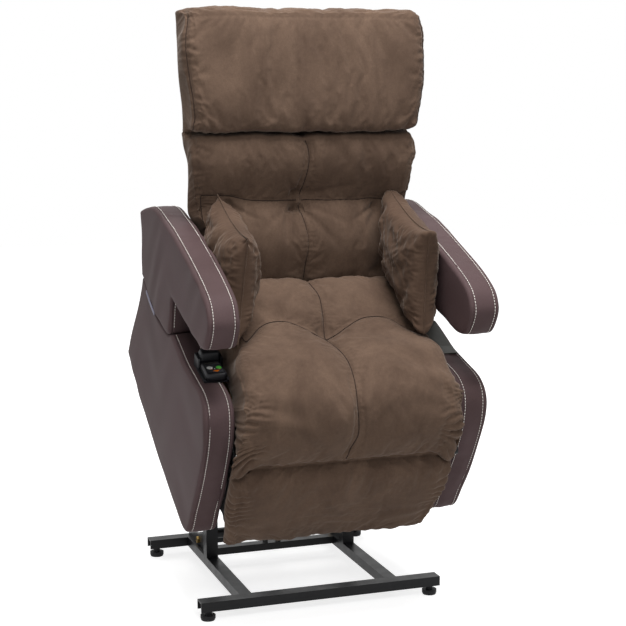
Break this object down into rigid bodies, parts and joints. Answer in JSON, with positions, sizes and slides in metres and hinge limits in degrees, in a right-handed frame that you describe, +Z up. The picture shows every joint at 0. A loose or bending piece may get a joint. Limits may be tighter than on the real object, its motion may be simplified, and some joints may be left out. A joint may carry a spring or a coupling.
{
  "type": "lift recliner chair",
  "caption": "Powered lift recliner chair raised and tilted forward on a steel lift base, with a reclining back, folding leg rest, padded arms and loose side cushions.",
  "frame": {"origin": "on the floor, at the centre of the bounding box of the raised chair", "axes": "+Z up, -Y the front that the sitter faces, +X to the right as seen from the front"},
  "size_m": [0.7293, 0.9006, 1.5025],
  "materials": {
    "painted_steel": "satin black powder coat",
    "zinc_steel": "zinc plated",
    "brass_bolt": "yellow passivated",
    "bush_plastic": "moulded nylon",
    "black_plastic": "fine texture",
    "glide_plastic": "matt",
    "plywood": "unfinished birch ply",
    "leatherette": "satin coated brown leatherette with pale stitching",
    "microfibre": "brushed brown microfibre",
    "lid_plastic": "matt olive grey",
    "keypad_rubber": "matt",
    "button_white": "satin",
    "button_green": "satin"
  },
  "bodies": {
    "base": {"base_frame": "painted_steel", "foot_glides": "glide_plastic", "lift_posts": "painted_steel", "base_cross_tube": "painted_steel", "post_pins": "zinc_steel", "base_bolts": "brass_bolt", "lift_motor_pin": "zinc_steel"},
    "lift_link": {"lift_links": "painted_steel", "link_bushes": "bush_plastic"},
    "guide_link": {"guide_links": "painted_steel"},
    "lift_motor": {"lift_motor": "black_plastic"},
    "lift_rod": {"lift_rod": "zinc_steel"},
    "carriage": {"seat_frame": "painted_steel", "frame_brackets": "painted_steel", "seat_deck": "plywood", "carriage_plates": "painted_steel", "carriage_pins": "zinc_steel", "tube_plugs": "zinc_steel", "hip_pins": "zinc_steel", "knee_pins": "zinc_steel", "side_panel_left": "leatherette", "side_panel_right": "leatherette", "arm_left": "leatherette", "arm_right": "leatherette", "seat_cushion": "microfibre", "rear_skirt": "leatherette", "control_box": "black_plastic", "storage_pocket": "leatherette", "panel_lid": "lid_plastic", "handset_holder": "black_plastic", "motor_foot_pins": "zinc_steel"},
    "backrest": {"back_frame": "plywood", "back_hinges": "painted_steel", "back_crank_pin": "zinc_steel", "lumbar_cushion": "microfibre", "back_cushion": "microfibre", "headrest_pillow": "microfibre", "back_cover": "microfibre"},
    "recline_motor": {"recline_motor": "black_plastic"},
    "recline_rod": {"recline_rod": "zinc_steel"},
    "legrest": {"legrest_frame": "plywood", "legrest_hinges": "painted_steel", "legrest_crank_pin": "zinc_steel", "legrest_cushion": "microfibre"},
    "side_cushion_left": {"side_cushion_left": "microfibre"},
    "side_cushion_right": {"side_cushion_right": "microfibre"},
    "handset": {"handset_body": "black_plastic", "handset_keypad": "keypad_rubber"},
    "up_button": {"up_button": "button_white"},
    "down_button": {"down_button": "button_green"},
    "legrest_motor": {"legrest_motor": "black_plastic"},
    "legrest_rod": {"legrest_rod": "zinc_steel"}
  },
  "joints": [
    {"name": "lift", "type": "hinge", "parent": "base", "child": "lift_link", "pos_m": [0, 0.186, 0.2655], "axis": [1, 0, 0], "range_deg": [-76.12, 0]},
    {"name": "carriage_tilt", "type": "hinge", "parent": "lift_link", "child": "carriage", "pos_m": [0, 0.40582, 0.57172], "axis": [1, 0, 0], "range_deg": [-0.05, 51.17]},
    {"name": "guide_link", "type": "hinge", "parent": "base", "child": "guide_link", "pos_m": [0, 0.116, 0.25], "axis": [1, 0, 0], "range_deg": [-81.15, 0.05]},
    {"name": "lift_motor_swing", "type": "hinge", "parent": "base", "child": "lift_motor", "pos_m": [0, 0.256, 0.1], "axis": [1, 0, 0], "range_deg": [-38.11, 0.05]},
    {"name": "lift_rod_stroke", "type": "slide", "parent": "lift_motor", "child": "lift_rod", "axis": [0, -0.2356, 0.9719], "range_m": [-0.11142, 0.0002]},
    {"name": "recline", "type": "hinge", "parent": "carriage", "child": "backrest", "pos_m": [0, 0.0077, 0.81027], "axis": [-1, 0, 0], "range_deg": [0, 45]},
    {"name": "recline_motor_swing", "type": "hinge", "parent": "carriage", "child": "recline_motor", "pos_m": [0.09, -0.12379, 0.5007], "axis": [1, 0, 0], "range_deg": [-0.05, 4.96]},
    {"name": "recline_rod_stroke", "type": "slide", "parent": "recline_motor", "child": "recline_rod", "axis": [0, 0.5468, 0.8372], "range_m": [-0.03817, 0.0002]},
    {"name": "legrest", "type": "hinge", "parent": "carriage", "child": "legrest", "pos_m": [0, -0.37132, 0.43051], "axis": [-1, 0, 0], "range_deg": [0, 80]},
    {"name": "legrest_motor_swing", "type": "hinge", "parent": "carriage", "child": "legrest_motor", "pos_m": [-0.09, -0.20153, 0.55383], "axis": [1, 0, 0], "range_deg": [-40.05, 0.05]},
    {"name": "legrest_rod_stroke", "type": "slide", "parent": "legrest_motor", "child": "legrest_rod", "axis": [0, -0.0437, -0.999], "range_m": [-0.0002, 0.15023]},
    {"name": "side_cushion_left_lift", "type": "slide", "parent": "carriage", "child": "side_cushion_left", "axis": [0, -0.4226, 0.9063], "range_m": [0, 0.12]},
    {"name": "side_cushion_right_lift", "type": "slide", "parent": "carriage", "child": "side_cushion_right", "axis": [0, -0.4226, 0.9063], "range_m": [0, 0.12]},
    {"name": "handset_lift", "type": "slide", "parent": "carriage", "child": "handset", "axis": [0, -0.2773, 0.9608], "range_m": [0, 0.06]},
    {"name": "up_button_press", "type": "slide", "parent": "handset", "child": "up_button", "axis": [0, 0.2773, -0.9608], "range_m": [0, 0.0012], "stiffness_N_per_m": 600, "springref_m": -0.0006},
    {"name": "down_button_press", "type": "slide", "parent": "handset", "child": "down_button", "axis": [0, 0.2773, -0.9608], "range_m": [0, 0.0012], "stiffness_N_per_m": 600, "springref_m": -0.0006}
  ],
  "couplings": [
    {"joint": "carriage_tilt", "follows": "lift", "ratio": -0.67158},
    {"joint": "guide_link", "follows": "lift", "ratio": 1.0654},
    {"joint": "lift_motor_swing", "follows": "lift", "ratio": 0.5},
    {"joint": "lift_rod_stroke", "follows": "lift", "m_per_rad": 0.083715},
    {"joint": "recline_motor_swing", "follows": "recline", "ratio": 0.10901},
    {"joint": "recline_rod_stroke", "follows": "recline", "m_per_rad": -0.048345},
    {"joint": "legrest_motor_swing", "follows": "legrest", "ratio": -0.5},
    {"joint": "legrest_rod_stroke", "follows": "legrest", "m_per_rad": 0.10745}
  ]
}
